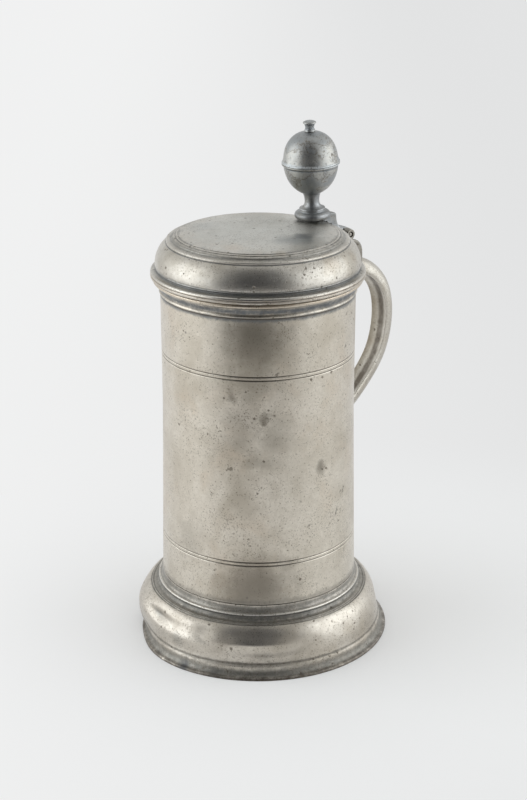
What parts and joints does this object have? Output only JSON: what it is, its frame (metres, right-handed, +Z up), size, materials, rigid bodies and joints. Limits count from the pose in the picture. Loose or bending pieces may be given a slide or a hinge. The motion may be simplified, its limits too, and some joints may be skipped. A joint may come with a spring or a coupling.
{
  "type": "tankard",
  "caption": "Lidded pewter tankard: turned cup on a hollow moulded foot, strap handle, and a hinged domed lid raised by a ball-shaped thumbpiece.",
  "frame": {"origin": "middle of the bounding box at the height of the surface that the foot stands on", "axes": "+Z up, the handle and the hinge towards +X, the hinge axis along Y"},
  "size_m": [0.1506, 0.1276, 0.2497],
  "materials": {
    "pewter_body": "satin, worn and stained grey pewter",
    "pewter_foot": "satin, dented and pitted grey pewter",
    "pewter_floor": "matt, darkened pewter",
    "pewter_lid": "satin pewter with dark pits",
    "pewter_handle": "worn satin pewter",
    "pewter_thumbpiece": "darker pewter, polished by thumbs",
    "hinge_pin": "dark dull metal"
  },
  "bodies": {
    "vessel": {"cup_wall": "pewter_body", "floor_disc": "pewter_floor", "foot_ring": "pewter_foot", "handle": "pewter_handle", "hinge_bracket": "pewter_handle", "hinge_pin": "hinge_pin"},
    "lid_and_thumbpiece": {"lid": "pewter_lid", "thumb_stem": "pewter_thumbpiece", "thumb_ball_lower": "pewter_thumbpiece", "thumb_ball_upper": "pewter_thumbpiece", "thumb_finial": "pewter_thumbpiece"}
  },
  "joints": [
    {"name": "lid_hinge", "type": "hinge", "parent": "vessel", "child": "lid_and_thumbpiece", "pos_m": [0.04142, 0, 0.1924], "axis": [0, 1, 0], "range_deg": [0, 140]}
  ]
}
